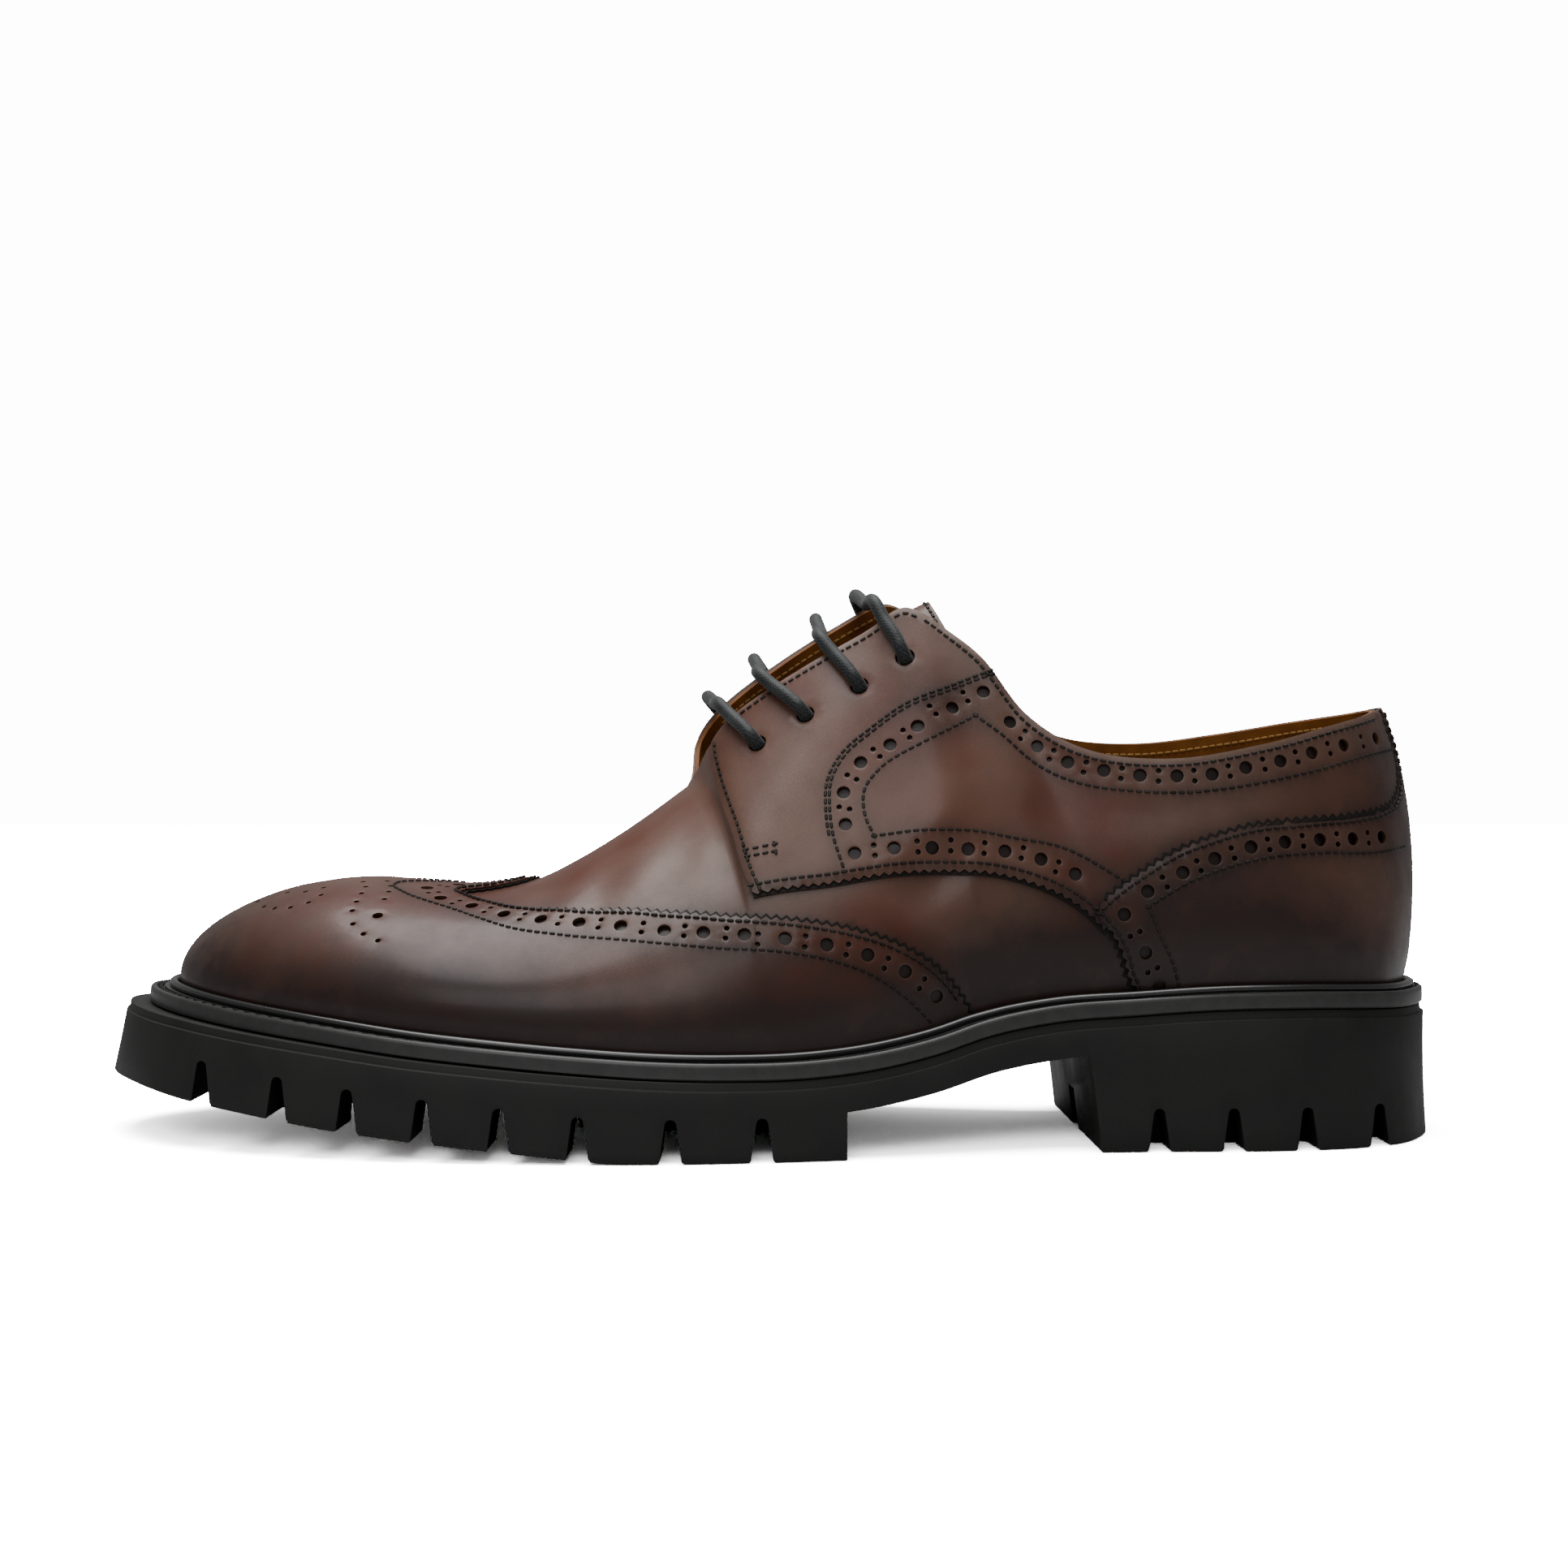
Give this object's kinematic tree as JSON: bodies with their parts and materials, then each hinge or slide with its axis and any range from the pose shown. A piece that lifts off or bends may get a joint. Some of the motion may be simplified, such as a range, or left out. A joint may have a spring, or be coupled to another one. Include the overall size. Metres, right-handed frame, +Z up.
{
  "type": "lug-sole brogue derby",
  "caption": "Left men's derby shoe in burnished brown calf with a wing cap, open facings laced with straight bars, and a thick black lug outsole with heel.",
  "frame": {"origin": "middle of the shoe's length and width, on the floor", "axes": "+Z up, -X towards the toe, -Y towards the outer side of the foot"},
  "size_m": [0.3137, 0.1137, 0.1293],
  "materials": {
    "calf_leather": "hand-burnished, waxed",
    "lining_leather": "matte, undyed",
    "sole_rubber": "matte, moulded",
    "welt_strip": "satin, stitched",
    "waxed_lace": "waxed round braid"
  },
  "bodies": {
    "root": {"outsole": "sole_rubber", "welt": "welt_strip", "insole": "lining_leather", "upper": "calf_leather", "wing_cap": "calf_leather", "quarter_outer": "calf_leather", "quarter_inner": "calf_leather", "counter": "calf_leather", "tongue": "calf_leather", "lace_bar_1": "waxed_lace", "lace_bar_2": "waxed_lace", "lace_bar_3": "waxed_lace", "lace_bar_4": "waxed_lace"}
  },
  "joints": []
}
